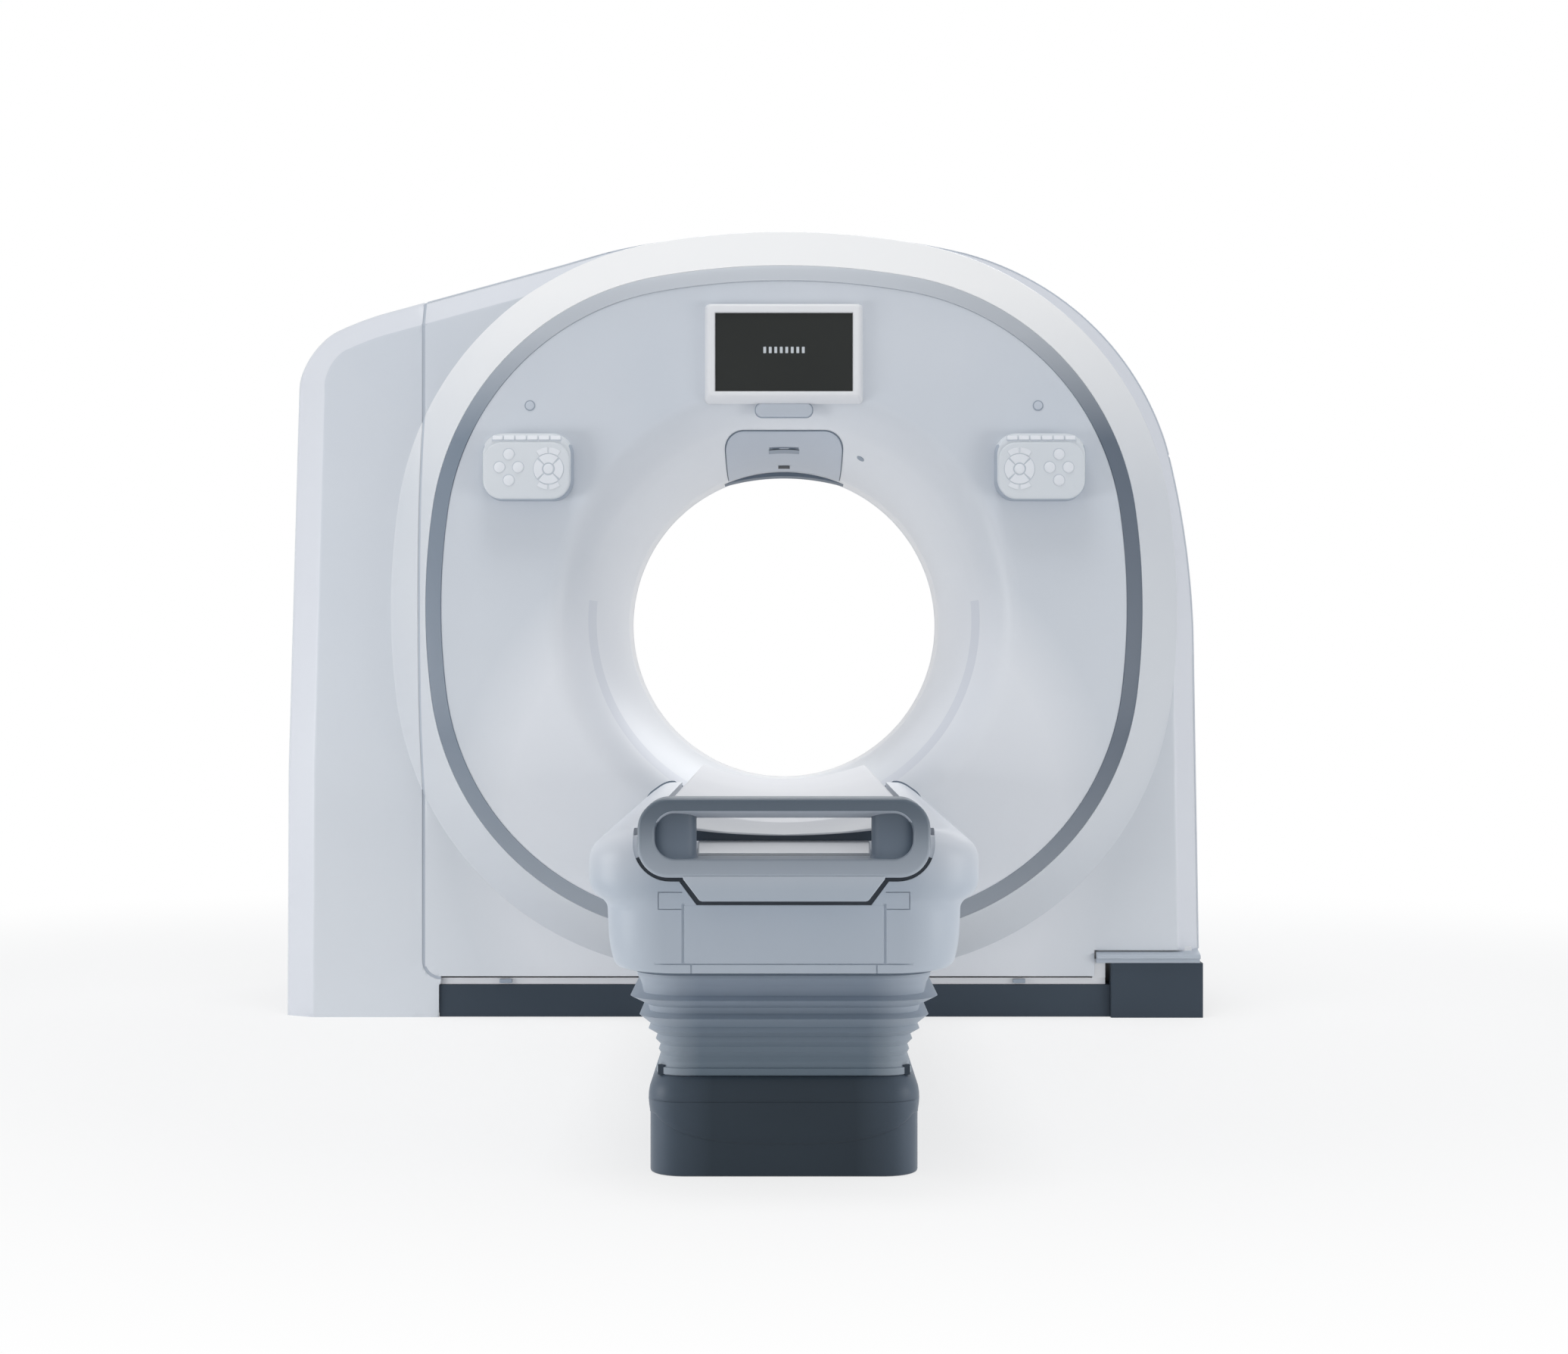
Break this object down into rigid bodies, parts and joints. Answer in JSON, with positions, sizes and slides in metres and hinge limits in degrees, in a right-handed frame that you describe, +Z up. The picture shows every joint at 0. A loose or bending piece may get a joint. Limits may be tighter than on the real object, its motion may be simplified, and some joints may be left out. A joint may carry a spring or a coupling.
{
  "type": "ct scanner",
  "caption": "CT scanner with a tall asymmetric gantry, a flared round bore and a rotor inside, and a patient table that lifts on a bellows-covered column and slides into the bore.",
  "frame": {"origin": "on the floor under the isocentre, at the middle of the gantry's anchor bolt pattern", "axes": "+X to the right of someone at the foot of the table, +Y from the table into the gantry along the bore, +Z up"},
  "size_m": [2.2169, 3.1, 1.899],
  "materials": {
    "cover_white": "satin",
    "trim_grey": "satin",
    "panel_white": "satin",
    "keypad_grey": "matte",
    "laser_grey": "satin",
    "base_dark": "satin",
    "lid_grey": "satin",
    "handle_grey": "satin",
    "apron_grey": "satin",
    "cradle_white": "satin",
    "bellows_fabric": "matte",
    "screen_glass": "gloss",
    "frame_steel": "satin",
    "bearing_steel": "satin",
    "rotor_alloy": "satin",
    "unit_metal": "satin",
    "belt_rubber": "matte"
  },
  "bodies": {
    "root": {"gantry_base_frame": "frame_steel", "stator_ring": "frame_steel", "bearing_outer_race": "bearing_steel", "front_cover": "cover_white", "left_cover": "cover_white", "top_cover": "cover_white", "right_cover": "cover_white", "rear_cover": "cover_white", "trim_ring": "trim_grey", "bore_liner": "cover_white", "plinth": "base_dark", "foot_box": "base_dark", "foot_box_lid": "lid_grey", "drive_motor": "unit_metal", "drive_belt": "belt_rubber", "brush_block": "unit_metal", "power_cabinet": "unit_metal", "display_bezel": "panel_white", "display_screen": "screen_glass", "display_tab": "panel_white", "laser_cover": "laser_grey", "laser_window": "screen_glass", "cover_fasteners": "trim_grey", "left_panel": "panel_white", "left_keypad": "keypad_grey", "right_panel": "panel_white", "right_keypad": "keypad_grey", "table_base_plate": "frame_steel", "table_base_skirt": "base_dark", "table_base_cover": "base_dark", "column_outer": "frame_steel"},
    "rotor": {"rotor_drum": "rotor_alloy", "bearing_inner_race": "bearing_steel", "xray_tube": "unit_metal", "collimator": "frame_steel", "hv_tank": "unit_metal", "heat_exchanger": "rotor_alloy", "counterweight": "frame_steel", "detector_arc": "unit_metal", "slip_ring": "bearing_steel"},
    "pulley": {"motor_pulley": "rotor_alloy"},
    "column_mid": {"column_mid": "rotor_alloy"},
    "lift": {"lift_frame": "frame_steel", "bellows": "bellows_fabric"},
    "table_top": {"table_body": "cover_white", "table_end_panel": "apron_grey"},
    "cradle": {"cradle": "cradle_white", "slide_carriage": "handle_grey", "handle_loop": "handle_grey", "handle_apron": "apron_grey"},
    "left_button_1": {"left_button_1": "keypad_grey"},
    "left_button_2": {"left_button_2": "keypad_grey"},
    "left_button_3": {"left_button_3": "keypad_grey"},
    "left_button_4": {"left_button_4": "keypad_grey"},
    "left_centre_button": {"left_centre_button": "keypad_grey"},
    "right_button_1": {"right_button_1": "keypad_grey"},
    "right_button_2": {"right_button_2": "keypad_grey"},
    "right_button_3": {"right_button_3": "keypad_grey"},
    "right_button_4": {"right_button_4": "keypad_grey"},
    "right_centre_button": {"right_centre_button": "keypad_grey"}
  },
  "joints": [
    {"name": "rotor_spin", "type": "hinge", "parent": "root", "child": "rotor", "pos_m": [0, 0, 0.956], "axis": [0, 1, 0], "continuous": true},
    {"name": "pulley_spin", "type": "hinge", "parent": "root", "child": "pulley", "pos_m": [-0.77, 0, 0.3], "axis": [0, 1, 0], "continuous": true},
    {"name": "table_lift", "type": "slide", "parent": "root", "child": "lift", "axis": [0, 0, 1], "range_m": [0, 0.38], "deforming": ["bellows"]},
    {"name": "column_mid_slide", "type": "slide", "parent": "root", "child": "column_mid", "axis": [0, 0, 1], "range_m": [0, 0.19]},
    {"name": "table_shift", "type": "slide", "parent": "lift", "child": "table_top", "axis": [1, 0, 0], "range_m": [-0.08, 0.08]},
    {"name": "cradle_slide", "type": "slide", "parent": "table_top", "child": "cradle", "axis": [0, 1, 0], "range_m": [0, 1.6]},
    {"name": "left_button_1_press", "type": "slide", "parent": "root", "child": "left_button_1", "axis": [0, 1, 0], "range_m": [0, 0.002], "stiffness_N_per_m": 800},
    {"name": "left_button_2_press", "type": "slide", "parent": "root", "child": "left_button_2", "axis": [0, 1, 0], "range_m": [0, 0.002], "stiffness_N_per_m": 800},
    {"name": "left_button_3_press", "type": "slide", "parent": "root", "child": "left_button_3", "axis": [0, 1, 0], "range_m": [0, 0.002], "stiffness_N_per_m": 800},
    {"name": "left_button_4_press", "type": "slide", "parent": "root", "child": "left_button_4", "axis": [0, 1, 0], "range_m": [0, 0.002], "stiffness_N_per_m": 800},
    {"name": "left_centre_button_press", "type": "slide", "parent": "root", "child": "left_centre_button", "axis": [0, 1, 0], "range_m": [0, 0.002], "stiffness_N_per_m": 800},
    {"name": "right_button_1_press", "type": "slide", "parent": "root", "child": "right_button_1", "axis": [0, 1, 0], "range_m": [0, 0.002], "stiffness_N_per_m": 800},
    {"name": "right_button_2_press", "type": "slide", "parent": "root", "child": "right_button_2", "axis": [0, 1, 0], "range_m": [0, 0.002], "stiffness_N_per_m": 800},
    {"name": "right_button_3_press", "type": "slide", "parent": "root", "child": "right_button_3", "axis": [0, 1, 0], "range_m": [0, 0.002], "stiffness_N_per_m": 800},
    {"name": "right_button_4_press", "type": "slide", "parent": "root", "child": "right_button_4", "axis": [0, 1, 0], "range_m": [0, 0.002], "stiffness_N_per_m": 800},
    {"name": "right_centre_button_press", "type": "slide", "parent": "root", "child": "right_centre_button", "axis": [0, 1, 0], "range_m": [0, 0.002], "stiffness_N_per_m": 800}
  ],
  "couplings": [
    {"joint": "pulley_spin", "follows": "rotor_spin", "ratio": 12.667},
    {"joint": "column_mid_slide", "follows": "table_lift", "ratio": 0.5}
  ]
}
